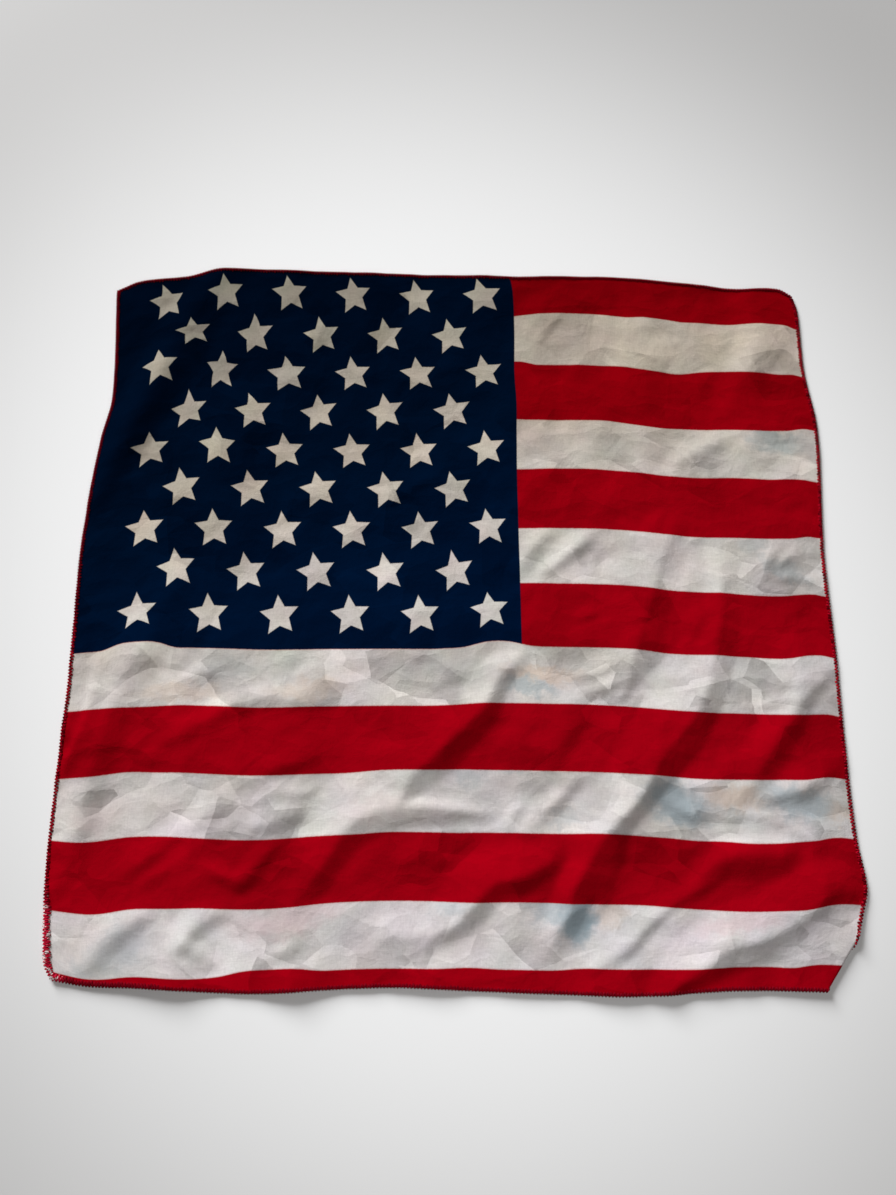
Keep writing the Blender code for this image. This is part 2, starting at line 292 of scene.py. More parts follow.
SHORT_FOLDS = [
    # along the hoist, where the edge strip has slipped
    ([(-258, -20, 0, 6, 8), (-262, -60, 1, 6, 9), (-266, -90, 1.4, 5, 9), (-276, -115, 1.4, 5, 9),
      (-284, -132, 0.8, 5, 8)], 0.1),
    # between the two long ones of the fly half
    ([(190, -4, 0, 8, 4), (182, -14, 1.2, 12, 5), (175, -26, 1.2, 14, 5),
      (167, -40, 0, 8, 4)], 0.2),
    ([(93, -124, 0, 8, 5), (84, -134, 1.5, 10, 7), (74, -144, 2, 10, 8), (62, -154, 2, 10, 10),
      (52, -162, 1.6, 8, 12), (43, -171, 0, 6, 8)], 0.1),
    ([(50, -146, 0, 6, 5), (42, -155, 1.2, 7, 6), (34, -165, 0.6, 6, 6), (28, -172, 0, 5, 5)], 0.1),
    # the lower fly quarter
    ([(192, -192, 0, 10, 6), (176, -202, 1.5, 12, 6), (158, -211, 1.4, 12, 5),
      (143, -220, 1.6, 14, 6), (129, -232, 2, 14, 6), (118, -243, 2, 12, 7),
      (101, -253, 1.2, 10, 7), (88, -262, 0, 8, 6)], 0.2),
    ([(240, -176, 0, 12, 10), (228, -182, 3, 14, 14), (205, -183, 4, 14, 20),
      (186, -186, 3.5, 14, 16), (172, -196, 1.5, 10, 10), (160, -206, 0, 8, 8)], 0.5),
    ([(252, -72, 0, 10, 10), (243, -88, 2.5, 16, 12), (229, -104, 3.5, 18, 15),
      (217, -122, 3, 18, 14), (208, -136, 1.2, 12, 10), (200, -148, 0, 8, 8)], 0.4),
    ([(286, -44, 1.5, 14, 8), (272, -56, 3, 16, 9), (258, -68, 3, 16, 9), (250, -77, 2, 12, 8),
      (236, -84, 0, 8, 6)], 0.2),
    ([(248, -74, 0.8, 6, 4), (225, -79, 1, 6, 4), (207, -79, 0, 4, 4)], 0.0),
    ([(288, -108, 2, 16, 10), (276, -118, 3, 18, 10), (262, -128, 3, 18, 9),
      (245, -138, 2.2, 16, 8), (228, -143, 1.2, 10, 6), (212, -146, 0, 8, 5)], 0.3),
    ([(216, -156, 0, 4, 3), (200, -158, 1, 5, 3), (184, -159, 0, 4, 3)], 0.0),
    ([(250, -173, 0, 6, 5), (240, -168, 1, 8, 6), (226, -160, 1, 7, 6), (214, -157, 0.6, 6, 5)],
     0.1),
    ([(178, -163, 0, 6, 5), (162, -153, 1.5, 7, 6), (148, -142, 0, 5, 5)], 0.1),
    # the middle of the fly half
    ([(100, -84, 0, 14, 10), (88, -92, 1.5, 20, 10), (68, -114, 1.8, 22, 12),
      (58, -124, 0, 12, 8)], 0.6),
    ([(112, -8, 0, 8, 6), (100, -12, 1.2, 10, 6), (86, -14, 0, 8, 5)], 0.5),
    ([(122, -48, 0, 6, 5), (104, -54, 1, 8, 6), (84, -60, 0, 6, 5)], 0.2),
    ([(120, -62, 0, 5, 5), (103, -68, 1.2, 7, 6), (86, -70, 0, 5, 5)], 0.2),
    ([(106, 52, 0, 8, 5), (96, 43, 2, 12, 7), (82, 32, 2.2, 12, 8), (70, 22, 1.2, 10, 6),
      (60, 14, 0, 6, 5)], 0.1),
    ([(78, 58, 0, 8, 10), (64, 46, 1.5, 10, 12), (52, 30, 0.8, 8, 10)], 0.3),
    ([(112, 40, 0, 5, 4), (104, 24, 0.8, 6, 5), (110, 10, 0, 5, 4)], 0.2),
    ([(288, 20, 1, 10, 9), (272, 16, 2, 12, 9), (256, 15, 1.8, 10, 6), (240, 17, 0.8, 8, 5),
      (228, 22, 0, 6, 5)], 0.2),
    ([(246, 44, 0, 6, 5), (236, 30, 1, 8, 6), (230, 12, 0, 6, 5)], 0.2),
    ([(262, 42, 0, 6, 5), (246, 28, 1, 6, 5), (236, 20, 0, 5, 4)], 0.2),
    # the upright ones at the fly end of the top side
    ([(150, 250, 0, 22, 14), (152, 222, 1.6, 26, 20), (153, 195, 1.8, 26, 20),
      (150, 170, 1.5, 26, 20), (146, 140, 0, 20, 16)], 0.5),
    ([(236, 262, 1.5, 18, 28), (239, 232, 2, 20, 32), (238, 196, 2, 20, 32),
      (222, 170, 1.6, 18, 24), (212, 140, 0, 14, 16)], 0.4),
    ([(222, 134, 0, 10, 8), (204, 124, 1.2, 12, 8), (180, 112, 1, 12, 8), (160, 104, 0, 8, 6)],
     0.3),
    ([(286, 112, 1.5, 12, 8), (272, 126, 1.8, 12, 8), (260, 139, 0, 10, 6)], 0.2),
    # the middle of the hoist half
    ([(-90, -80, 0, 10, 6), (-112, -76, 2, 14, 8), (-134, -74, 2.5, 14, 10),
      (-158, -79, 2.2, 12, 10), (-178, -88, 2, 12, 12), (-197, -98, 1.2, 10, 10),
      (-212, -110, 0.8, 10, 12), (-222, -122, 0, 8, 8)], 0.3),
    ([(-96, -106, 0, 14, 8), (-110, -118, 1.5, 20, 8), (-130, -124, 1.8, 22, 8),
      (-148, -128, 0, 14, 8)], 0.5),
    ([(-160, -150, 0, 10, 8), (-178, -158, 1.5, 12, 10), (-196, -166, 0.8, 10, 10),
      (-212, -174, 0, 8, 8)], 0.4),
    ([(-104, -152, 0, 10, 8), (-120, -158, 1.5, 12, 10), (-136, -163, 1.5, 12, 8),
      (-150, -168, 0, 8, 6)], 0.3),
    ([(-96, -138, 0, 6, 5), (-112, -141, 1, 8, 6), (-134, -141, 0, 6, 5)], 0.2),
    # the lower hoist quarter
    ([(-196, -172, 0, 8, 8), (-208, -180, 2, 12, 9), (-222, -190, 2, 12, 9),
      (-236, -200, 0, 8, 8)], 0.3),
    ([(-176, -176, 0, 8, 8), (-192, -186, 1.2, 9, 10), (-206, -196, 1, 9, 8),
      (-220, -204, 0, 6, 6)], 0.3),
    ([(-122, -172, 0, 8, 6), (-133, -184, 2, 12, 7), (-143, -197, 2.2, 12, 8),
      (-150, -203, 1.5, 10, 6), (-158, -206, 0, 8, 6)], 0.2),
    ([(-146, -203, 0.5, 6, 6), (-158, -199, 1.8, 8, 6), (-168, -194, 1.5, 8, 6),
      (-178, -190, 0, 6, 6)], 0.2),
    ([(-152, -218, 0, 12, 8), (-168, -224, 2, 14, 9), (-180, -232, 2.5, 14, 9),
      (-188, -242, 2, 12, 8), (-196, -250, 0, 8, 8)], 0.3),
    ([(-160, -256, 0, 6, 6), (-168, -252, 1.5, 8, 8), (-180, -244, 1.5, 8, 8),
      (-188, -240, 0.5, 6, 6)], 0.3),
    ([(-205, -216, 0, 12, 8), (-218, -226, 2, 14, 10), (-232, -236, 2, 14, 12),
      (-246, -250, 1, 12, 10), (-254, -262, 0, 8, 8)], 0.4),
    ([(-104, -244, 0, 8, 6), (-116, -246, 1.5, 8, 10), (-127, -251, 0.8, 8, 8),
      (-138, -258, 0, 6, 6)], 0.3),
]


def fold_heights(fold, place):
    """How high one fold lifts the cloth at each of these places, in metres."""
    crest, softness = fold
    line = 0.001 * smooth_line(crest, np.linspace(0.0, 1.0, CREST_STEPS * (len(crest) - 1) + 1))
    nearest = np.full(len(place), np.inf)
    side = np.zeros(len(place))
    traits = np.zeros((len(place), 3))
    for here, there in zip(line, line[1:]):
        run = (there - here)[:2]
        k = np.clip((place - here[:2]) @ run / (run @ run), 0.0, 1.0)
        offset = place - here[:2] - k[:, None] * run
        away = np.hypot(offset[:, 0], offset[:, 1])
        closer = away < nearest
        nearest[closer] = away[closer]
        side[closer] = (run[0] * offset[:, 1] - run[1] * offset[:, 0])[closer]
        traits[closer] = (here[2:] + k[:, None] * (there - here)[2:])[closer]
    height, hoist_reach, fly_reach = traits.T
    slope = np.clip(1 - nearest / np.where(side > 0, fly_reach, hoist_reach), 0.0, 1.0)
    swell = slope**2 * (3 - 2 * slope)
    return height * ((1 - softness) * slope + softness * swell)


points = np.empty((len(mesh.vertices), 3))
mesh.vertices.foreach_get("co", points.ravel())
place = points[:, :2].copy()
long_ones = [fold_heights(fold, place) for fold in LONG_FOLDS]
short_ones = [fold_heights(fold, place) for fold in SHORT_FOLDS]
lift = LONG_FOLDS_SETTLED * np.max(long_ones, axis=0) + np.sum(short_ones, axis=0)

# Between the folds the cloth is crumpled into small three-cornered facets, longest along the folds.
# Each set has its corners' spacing, their greatest height and a seed.
CRUMPLES = [(0.028, 0.0021, 3), (0.013, 0.0011, 5)]
CRUMPLED_HALF = 0.45  # half the crumpled square's side, over the cloth's half diagonal
CRUMPLE_STRAY = 0.42  # how far a corner strays from its even place, over the spacing
CRUMPLE_STRETCH = 1.5
FOLD_RUN = radians(52)
along_folds = np.array([[cos(FOLD_RUN), sin(FOLD_RUN)], [-sin(FOLD_RUN), cos(FOLD_RUN)]])
for spacing, height, seed in CRUMPLES:
    rng = np.random.default_rng(seed)
    steps = np.arange(-CRUMPLED_HALF, CRUMPLED_HALF, spacing)
    corners = np.stack(np.meshgrid(steps, steps), axis=-1).reshape(-1, 2)
    corners += rng.uniform(-CRUMPLE_STRAY, CRUMPLE_STRAY, corners.shape) * spacing
    corners *= (CRUMPLE_STRETCH, 1.0)
    heights = rng.uniform(0.0, height, len(corners))
    flat_corners, _, facets, *_ = delaunay_2d_cdt([Vector(c) for c in corners], [], [], 0, 1e-6)
    facets = BVHTree.FromPolygons(
        [(c.x, c.y, h) for c, h in zip(flat_corners, heights)], facets, all_triangles=True
    )
    turned_place = place @ along_folds.T
    lift += [facets.ray_cast((x, y, 1.0), (0, 0, -1))[0].z for x, y in turned_place]

# The folds run out before the fly side, which rests on the surface.
RESTING_STRIP = 0.030
RESTING_SHARE = 0.15  # of the folds' height, left at the side itself
FLY_LINE_POINTS = 200
fly_line = smooth_line(FLY_SIDE, np.linspace(0.0, 1.0, FLY_LINE_POINTS))
to_fly = np.interp(place[:, 1], fly_line[:, 1], fly_line[:, 0]) - place[:, 0]
lift *= RESTING_SHARE + (1 - RESTING_SHARE) * np.clip(to_fly / RESTING_STRIP, 0.0, 1.0)

# Round the turned-under corner the cloth stands a layer higher, and its folds fade out.
CORNER_LIFT = 2 * BEND_RADIUS
CORNER_LIFT_PLATEAU = 0.012
CORNER_LIFT_REACH = 0.060
past = (place - CREASE_START) @ np.array(crease_normal)
crease_middle = (CREASE_START + CREASE_END) / 2
away = np.linalg.norm(place - crease_middle, axis=1) - CORNER_LIFT_PLATEAU
fade = np.clip(away / (CORNER_LIFT_REACH - CORNER_LIFT_PLATEAU), 0.0, 1.0)
corner = 0.5 + 0.5 * np.cos(pi * fade)
points[:, 2] = CORNER_LIFT * corner + lift * (1 - corner) + CLOTH_THICKNESS / 2

# The cloth past the crease goes round the bend and back beneath.
turned = past > 0
angle = np.minimum(past[turned] / BEND_RADIUS, pi)
beyond = past[turned] - BEND_RADIUS * angle
level = BEND_RADIUS * np.sin(angle) - beyond - past[turned]
points[turned, :2] += level[:, None] * np.array(crease_normal)
points[turned, 2] = CLOTH_THICKNESS / 2 + BEND_RADIUS * (1 + np.cos(angle))
middle = (points[:, :2].max(axis=0) + points[:, :2].min(axis=0)) / 2
points[:, :2] -= middle
mesh.vertices.foreach_set("co", points.ravel())
mesh.update()

# The sheet's edge, once round: each point with the direction into the cloth and the one up from it.
sheet = bmesh.new()
sheet.from_mesh(mesh)
sheet.normal_update()
here = min((vert for vert in sheet.verts if vert.is_boundary), key=lambda vert: vert.co.x - vert.co.y)
before, round_edge = None, []
while here is not None and (not round_edge or here is not round_edge[0]):
    round_edge.append(here)
    ways = [edge.other_vert(here) for edge in here.link_edges if edge.is_boundary]
    before, here = here, ways[0] if ways[0] is not before else ways[1]
edge_points = np.array([vert.co[:] for vert in round_edge])
edge_ups = np.array([vert.normal[:] for vert in round_edge])
sheet.free()

thick = cloth.modifiers.new("thickness", "SOLIDIFY")
thick.thickness = CLOTH_THICKNESS
thick.offset = 0.0
bpy.ops.object.modifier_apply(modifier=thick.name)
bpy.ops.object.shade_smooth()

# The print, in metres on the flat cloth: seven red and six white stripes of which the last is cut
# short, and a navy canton with fifty stars in nine staggered rows.
RED_STRIPE = 0.0479
STRIPE_PAIR = 0.0898
CANTON_WIDTH = 0.330
CANTON_LENGTH = 3 * STRIPE_PAIR + RED_STRIPE
STAR_PITCH = 0.0522
STAR_ROW_PITCH = 0.0327
FIRST_STAR = (0.0455, 0.0304)
STAR_ROWS = 9
STARS_IN_ROW = 6  # and one fewer in every second row
STAR_RADIUS = 0.0147
STAR_NECK = 0.49  # the inner corners' radius over the outer one
STAR_STRETCH = 1.06
STAR_TILT = radians(7)
ODD_ROW_TILT = radians(11)
DYE_EDGE = 0.0004
DYE_GRAIN = 900.0  # how fine the ragged edge of the dye is, in waves to the metre
DYE_WANDER = 0.00045
NAVY_LAP = 7 * DYE_EDGE  # how far the navy lies over the stripes' ends
BLEED_REACH = 3.5 * DYE_EDGE


def add_node(tree, kind, inputs=None, **settings):
    """Adds a shader node. The inputs are numbers, colours or other nodes' sockets."""
    node = tree.nodes.new("ShaderNode" + kind)
    for name, setting in settings.items():
        setattr(node, name, setting)
    for name, value in (inputs or {}).items():
        if isinstance(value, bpy.types.NodeSocket):
            tree.links.new(value, node.inputs[name])
        else:
            node.inputs[name].default_value = value
    return node


def calc(tree, operation, *values):
    """The result of a Math node on numbers or sockets."""
    return add_node(tree, "Math", dict(enumerate(values)), operation=operation).outputs[0]


def opposite(tree, mask):
    """1 where the mask is 0, and 0 where it is 1."""
    return calc(tree, "SUBTRACT", 1, mask)


def vector_calc(tree, operation, *values, **named):
    """The result of a Vector Math node on vectors, colours or sockets."""
    node = add_node(tree, "VectorMath", {**dict(enumerate(values)), **named}, operation=operation)
    return node.outputs["Value" if operation == "LENGTH" else "Vector"]


def soft_mask(tree, distance, inside, outside):
    """1 where the distance is under inside, 0 where it is over outside, and soft between them."""
    node = add_node(tree, "MapRange", {"Value": distance, "From Min": inside, "From Max": outside,
                    "To Min": 1.0, "To Max": 0.0}, interpolation_type="SMOOTHSTEP")
    return node.outputs["Result"]


def spread(tree, value, low, high, to_low, to_high):
    """The value, carried over from one range to another and kept inside it."""
    node = add_node(tree, "MapRange", {"Value": value, "From Min": low, "From Max": high,
                    "To Min": to_low, "To Max": to_high})
    return node.outputs["Result"]


def add_noise(tree, place, scale, detail, roughness=0.5, distortion=0.0):
    """A noise texture's outputs. The scale is about its waves in a metre."""
    return add_node(tree, "TexNoise", {"Vector": place, "Scale": scale, "Detail": detail,
                    "Roughness": roughness, "Distortion": distortion}).outputs


def wandered(tree, place, noise, reach):
    """The place, shifted either way by up to half the reach."""
    way = vector_calc(tree, "SUBTRACT", noise["Color"], (0.5, 0.5, 0.5))
    return vector_calc(tree, "ADD", place, vector_calc(tree, "SCALE", way, Scale=reach))


def tint(tree, mask, under, over, blend="MIX"):
    """Lays one colour over another where the mask is 1."""
    node = add_node(tree, "Mix", {0: mask, 6: under, 7: over}, data_type="RGBA", blend_type=blend)
    return node.outputs[2]


def add_ramp(tree, at, stops):
    """A colour ramp through these stops, each a position and a colour."""
    ramp = add_node(tree, "ValToRGB", {"Fac": at})
    elements = ramp.color_ramp.elements
    elements.remove(elements[1])
    elements[0].position, elements[0].color = stops[0]
    for position, colour in stops[1:]:
        elements.new(position).color = colour
    return ramp


def new_group(name, inputs, outputs):
    """An empty node group with these sockets, each a name, a kind and for inputs a value."""
    group = bpy.data.node_groups.new(name, "ShaderNodeTree")
    for socket_name, kind, value in inputs:
        socket = group.interface.new_socket(socket_name, in_out="INPUT", socket_type="NodeSocket" + kind)
        if value is not None:
            socket.default_value = value
    for socket_name, kind in outputs:
        group.interface.new_socket(socket_name, in_out="OUTPUT", socket_type="NodeSocket" + kind)
    return group, group.nodes.new("NodeGroupInput").outputs, group.nodes.new("NodeGroupOutput").inputs


def use_group(tree, group, inputs):
    """Places a node group in a tree."""
    node = add_node(tree, "Group", node_tree=group)
    for name, value in inputs.items():
        if isinstance(value, bpy.types.NodeSocket):
            tree.links.new(value, node.inputs[name])
        else:
            node.inputs[name].default_value = value
    return node.outputs


def add_flag_print():
    """The printed pattern: how much red and navy dye there is at a place on the flat cloth."""
    tree, given, result = new_group(
        "flag_print",
        [("Place", "Vector", None)],
        [("Red", "Float"), ("Navy", "Float"), ("Bleed", "Float")],
    )
    ragged = add_noise(tree, given["Place"], DYE_GRAIN, 2.0)
    place = wandered(tree, given["Place"], ragged, DYE_WANDER)
    place = add_node(tree, "SeparateXYZ", {"Vector": place})
    across, down = place.outputs["X"], place.outputs["Y"]

    to_middle = calc(tree, "PINGPONG", calc(tree, "SUBTRACT", down, RED_STRIPE / 2), STRIPE_PAIR / 2)
    stripe = calc(tree, "SUBTRACT", to_middle, RED_STRIPE / 2)
    canton = calc(tree, "MAXIMUM", calc(tree, "SUBTRACT", across, CANTON_WIDTH),
                  calc(tree, "SUBTRACT", down, CANTON_LENGTH))

    # the nearest star: its row, its place in that row, and the way to it
    row = calc(tree, "DIVIDE", calc(tree, "SUBTRACT", down, FIRST_STAR[1]), STAR_ROW_PITCH)
    row = calc(tree, "MINIMUM", calc(tree, "MAXIMUM", calc(tree, "ROUND", row), 0), STAR_ROWS - 1)
    odd = calc(tree, "FLOORED_MODULO", row, 2)
    start = calc(tree, "MULTIPLY_ADD", odd, STAR_PITCH / 2, FIRST_STAR[0])
    along = calc(tree, "SUBTRACT", across, start)
    star = calc(tree, "ROUND", calc(tree, "DIVIDE", along, STAR_PITCH))
    last_star = calc(tree, "SUBTRACT", STARS_IN_ROW - 1, odd)
    star = calc(tree, "MINIMUM", calc(tree, "MAXIMUM", star, 0), last_star)
    right = calc(tree, "SUBTRACT", along, calc(tree, "MULTIPLY", star, STAR_PITCH))
    below = calc(tree, "SUBTRACT", calc(tree, "SUBTRACT", down, FIRST_STAR[1]),
                 calc(tree, "MULTIPLY", row, STAR_ROW_PITCH))

    # a five-pointed star is one straight edge, folded ten times round its middle
    edge_angle = atan2(STAR_NECK * sin(pi / 5), 1 - STAR_NECK * cos(pi / 5))
    tilt = calc(tree, "MULTIPLY_ADD", odd, ODD_ROW_TILT - STAR_TILT, STAR_TILT)
    below = calc(tree, "MULTIPLY", below, 1 / STAR_STRETCH)
    turn = calc(tree, "ARCTAN2", right, calc(tree, "MULTIPLY", below, -1))
    turn = calc(tree, "PINGPONG", calc(tree, "ADD", turn, tilt), pi / 5)
    reach = calc(tree, "SQRT", calc(tree, "ADD", calc(tree, "MULTIPLY", right, right),
                 calc(tree, "MULTIPLY", below, below)))
    past_edge = calc(tree, "MULTIPLY", reach, calc(tree, "SINE", calc(tree, "ADD", turn, edge_angle)))
    star_edge = calc(tree, "SUBTRACT", past_edge, STAR_RADIUS * sin(edge_angle))

    in_canton = soft_mask(tree, canton, -DYE_EDGE, DYE_EDGE)
    off_star = opposite(tree, soft_mask(tree, star_edge, -DYE_EDGE, DYE_EDGE))
    off_canton = opposite(tree, soft_mask(tree, canton, -NAVY_LAP - DYE_EDGE, -NAVY_LAP + DYE_EDGE))
    red = soft_mask(tree, stripe, -DYE_EDGE, DYE_EDGE)
    near_red = soft_mask(tree, stripe, 0.0, BLEED_REACH)
    tree.links.new(calc(tree, "MULTIPLY", red, off_canton), result["Red"])
    tree.links.new(calc(tree, "MULTIPLY", in_canton, off_star), result["Navy"])
    tree.links.new(calc(tree, "MULTIPLY", near_red, off_canton), result["Bleed"])
    return tree


THREAD_SPACING = 0.0005
THREAD_SHARE = 0.2  # of the weave's height; the slubs make the rest
SLUBS_ALONG = 150.0  # in a metre of the thread
SLUBS_ACROSS = 1100.0


def add_cotton_weave():
    """Plain weave with slubs: thicker stretches of thread along and across the cloth."""
    tree, given, result = new_group(
        "cotton_weave",
        [("Place", "Vector", None), ("Thread Spacing", "Float", THREAD_SPACING)],
        [("Height", "Float"), ("Slubs", "Float")],
    )
    place = add_node(tree, "SeparateXYZ", {"Vector": given["Place"]})
    waves = []
    for axis in "XY":
        turns = calc(tree, "DIVIDE", place.outputs[axis], given["Thread Spacing"])
        waves.append(calc(tree, "SINE", calc(tree, "MULTIPLY", turns, pi)))
    threads = calc(tree, "MULTIPLY", waves[0], waves[1])
    slubs = []
    for stretch in ((SLUBS_ALONG, SLUBS_ACROSS, 1.0), (SLUBS_ACROSS, SLUBS_ALONG, 1.0)):
        stretched = vector_calc(tree, "MULTIPLY", given["Place"], stretch)
        slubs.append(add_noise(tree, stretched, 1.0, 3.0, roughness=0.6, distortion=0.4)["Fac"])
    both = calc(tree, "MULTIPLY", calc(tree, "ADD", slubs[0], slubs[1]), 0.5)
    tree.links.new(calc(tree, "MULTIPLY_ADD", threads, THREAD_SHARE, both), result["Height"])
    tree.links.new(both, result["Slubs"])
    return tree


STAIN_GRAIN = 90.0
STAIN_WANDER = 0.028
STAIN_CORE = 0.25  # where it starts to fade, over its half length or width
STAIN_RIM = 1.1


def add_stain():
    """A soft ragged blotch: its middle, its half length and width, and how far it is turned."""
    tree, given, result = new_group(
        "stain",
        [("Place", "Vector", None), ("Middle", "Vector", None), ("Reach", "Vector", (0.02, 0.02, 1.0)),
         ("Turn", "Vector", None)],
        [("Mask", "Float")],
    )
    ragged = add_noise(tree, given["Place"], STAIN_GRAIN, 5.0, roughness=0.6)
    place = wandered(tree, given["Place"], ragged, STAIN_WANDER)
    place = add_node(tree, "Mapping", {"Vector": place, "Location": given["Middle"],
                     "Rotation": given["Turn"], "Scale": given["Reach"]}, vector_type="TEXTURE")
    flat_place = vector_calc(tree, "MULTIPLY", place.outputs["Vector"], (1.0, 1.0, 0.0))
    away = vector_calc(tree, "LENGTH", flat_place)
    tree.links.new(soft_mask(tree, away, STAIN_CORE, STAIN_RIM), result["Mask"])
    return tree


# Blotches where dye has run into the white, in millimetres from the print's hoist end and top
# edge: the middle, half length and half width, degrees turned, and strength.
BLUE_RUNS = [
    (529, 146, 32, 12, 12, 0.60),
    (508, 231, 18, 10, -20, 0.35),
    (528, 252, 26, 9, 25, 0.45),
    (336, 348, 26, 8, 5, 0.60),
    (118, 330, 30, 10, 0, 0.18),
    (293, 411, 18, 8, 0, 0.30),
    (321, 406, 16, 7, 0, 0.25),
    (355, 440, 16, 7, 0, 0.30),
    (436, 424, 32, 20, 15, 0.85),
    (522, 422, 36, 14, 15, 0.70),
    (52, 520, 36, 18, -25, 0.38),
    (22, 536, 16, 10, 0, 0.35),
    (365, 508, 17, 21, -25, 1.0),
    (348, 502, 26, 13, 10, 0.55),
    (278, 500, 18, 8, 0, 0.35),
]
PEACH_RUNS = [
    (83, 349, 40, 10, 0, 0.30),
    (177, 347, 34, 10, 0, 0.30),
    (480, 419, 26, 12, 0, 0.50),
    (548, 432, 16, 9, 0, 0.40),
    (345, 338, 34, 8, 0, 0.45),
    (388, 503, 16, 12, 0, 0.32),
    (560, 130, 12, 8, 0, 0.30),
]
PINK_RUNS = [
    (169, 504, 46, 14, -10, 0.45),
    (477, 505, 40, 12, -8, 0.45),
    (31, 433, 24, 16, 0, 0.25),
    (225, 432, 40, 12, -6, 0.22),
    (10, 545, 14, 8, 0, 0.40),
]
BLUE_RUN_COLOUR = (0.36, 0.46, 0.52, 1.0)
PEACH_RUN_COLOUR = (0.66, 0.50, 0.38, 1.0)
PINK_RUN_COLOUR = (0.70, 0.52, 0.56, 1.0)
WHITE_COLOUR = (0.72, 0.715, 0.73, 1.0)
RED_DYE = (0.355, 0.0003, 0.0070, 1.0)
NAVY_DYE = (0.0003, 0.0075, 0.034, 1.0)
BLEED_COLOUR = (0.66, 0.42, 0.42, 1.0)
BLEED_STRENGTH = 0.5
MOTTLE_GRAIN = 26.0
MOTTLE_DEPTH = (0.17, 0.15, 0.17)
MOTTLE_DARKEST = (0.915, 0.925, 0.915)
SPECKLE_GRAIN = 650.0
WHITE_THREAD_SHADES = (0.93, 1.06)
THREAD_SHADES = (0.94, 1.05)
SHADE_AND_AGE_DOWN_SHARE = 0.75  # how much of the painted shade and ageing goes by the way down; the rest by the way across
# colours of painted shade and yellowing, from the canton's upper corner, 0, to the fly side's lower one,
# 1
SHADE_AND_AGE_COLOURS = [
    (0.10, (0.42, 0.39, 0.315, 1.0)),
    (0.32, (0.69, 0.61, 0.50, 1.0)),
    (0.50, (0.82, 0.78, 0.72, 1.0)),
    (0.68, (0.81, 0.77, 0.74, 1.0)),
    (1.0, (0.80, 0.765, 0.76, 1.0)),
]

flag_print, cotton_weave, stain = add_flag_print(), add_cotton_weave(), add_stain()
material = bpy.data.materials.new("printed_cotton")
material.use_nodes = True
tree = material.node_tree
shader = tree.nodes["Principled BSDF"]
place = add_node(tree, "UVMap", uv_map="PrintFlat").outputs["UV"]
spot = add_node(tree, "SeparateXYZ", {"Vector": place}).outputs
dye = use_group(tree, flag_print, {"Place": place})
weave = use_group(tree, cotton_weave, {"Place": place})

# The white is mottled with washed-out dye, and its thick and thin threads show.
colour = tint(tree, calc(tree, "MULTIPLY", dye["Bleed"], BLEED_STRENGTH), WHITE_COLOUR, BLEED_COLOUR)
mottle = add_noise(tree, place, MOTTLE_GRAIN, 3.0, roughness=0.55)["Color"]
mottling = vector_calc(tree, "MULTIPLY_ADD", mottle, MOTTLE_DEPTH, MOTTLE_DARKEST)
colour = tint(tree, 1.0, colour, mottling, blend="MULTIPLY")
speckle = add_noise(tree, place, SPECKLE_GRAIN, 3.0, roughness=0.7)["Fac"]
uneven = calc(tree, "MULTIPLY", calc(tree, "ADD", weave["Slubs"], speckle), 0.5)
white_threads = spread(tree, uneven, 0.38, 0.62, *WHITE_THREAD_SHADES)
colour = vector_calc(tree, "SCALE", colour, Scale=white_threads)
for runs, run_colour in ((PEACH_RUNS, PEACH_RUN_COLOUR), (PINK_RUNS, PINK_RUN_COLOUR),
                         (BLUE_RUNS, BLUE_RUN_COLOUR)):
    for middle_x, middle_y, half_length, half_width, turned, strength in runs:
        mask = use_group(tree, stain, {
            "Place": place,
            "Middle": (0.001 * middle_x, 0.001 * middle_y, 0.0),
            "Reach": (0.001 * half_length, 0.001 * half_width, 1.0),
            "Turn": (0.0, 0.0, radians(turned)),
        })["Mask"]
        colour = tint(tree, calc(tree, "MULTIPLY", mask, strength), colour, run_colour)
colour = tint(tree, dye["Red"], colour, RED_DYE)
colour = tint(tree, dye["Navy"], colour, NAVY_DYE)

# Painted shade: it darkens towards the canton's upper corner, where less light falls, and it has
# yellowed there too.
from_hoist = calc(tree, "MULTIPLY", spot["X"], (1 - SHADE_AND_AGE_DOWN_SHARE) / FLAT_WIDTH)
from_corner = calc(tree, "MULTIPLY_ADD", spot["Y"], SHADE_AND_AGE_DOWN_SHARE / FLAT_LENGTH, from_hoist)
shade_and_age = add_ramp(tree, from_corner, SHADE_AND_AGE_COLOURS)
colour = tint(tree, 1.0, colour, shade_and_age.outputs["Color"], blend="MULTIPLY")

# Thin and thick threads take the dye unevenly.
thread_shade = spread(tree, weave["Slubs"], 0.3, 0.7, *THREAD_SHADES)
colour = vector_calc(tree, "SCALE", colour, Scale=thread_shade)
tree.links.new(colour, shader.inputs["Base Color"])
shader.inputs["Roughness"].default_value = 0.95
shader.inputs["Specular IOR Level"].default_value = 0.0

